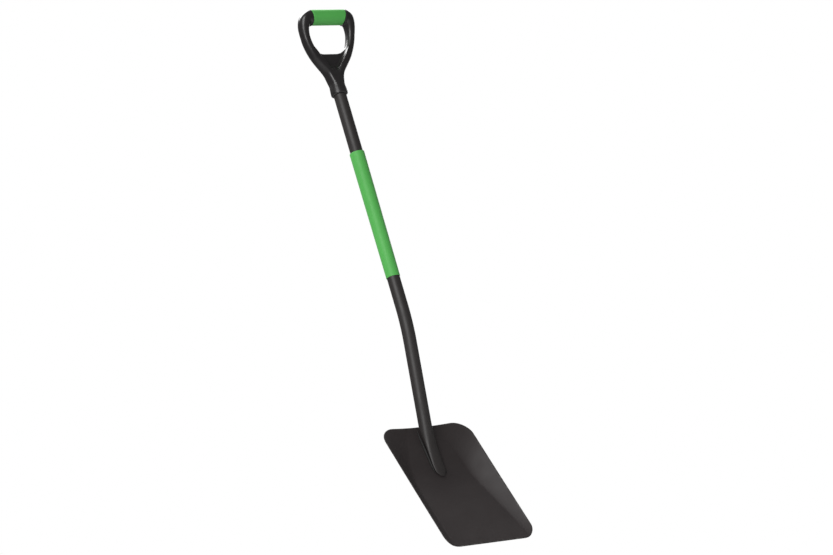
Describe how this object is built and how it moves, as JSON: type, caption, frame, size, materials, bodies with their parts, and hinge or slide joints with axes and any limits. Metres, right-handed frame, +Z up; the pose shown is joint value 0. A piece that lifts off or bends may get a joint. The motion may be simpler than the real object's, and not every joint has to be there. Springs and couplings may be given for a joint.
{
  "type": "garden spade",
  "caption": "Long handled garden spade with a dished steel blade, a bent tube shaft, a soft shaft sleeve and a D handle with a soft crossbar grip.",
  "frame": {"origin": "middle of the bottom of the bounding box: the spade stands upright on its blade's tip", "axes": "+Z up along the upper shaft to the D handle, the blade's hollow front toward -Y, +X across the blade"},
  "size_m": [0.194, 0.112, 1.0557],
  "materials": {
    "coated_steel": "satin powder coat with a faint pebble",
    "green_grip": "smooth matte soft plastic",
    "black_plastic": "moulded, half gloss",
    "screw_steel": "zinc plated"
  },
  "bodies": {
    "root": {"blade": "coated_steel", "shaft_tube": "coated_steel", "weld_bead_left": "coated_steel", "weld_bead_right": "coated_steel", "shaft_grip": "green_grip", "handle_yoke": "black_plastic", "handle_grip": "green_grip", "handle_screw": "screw_steel"}
  },
  "joints": []
}
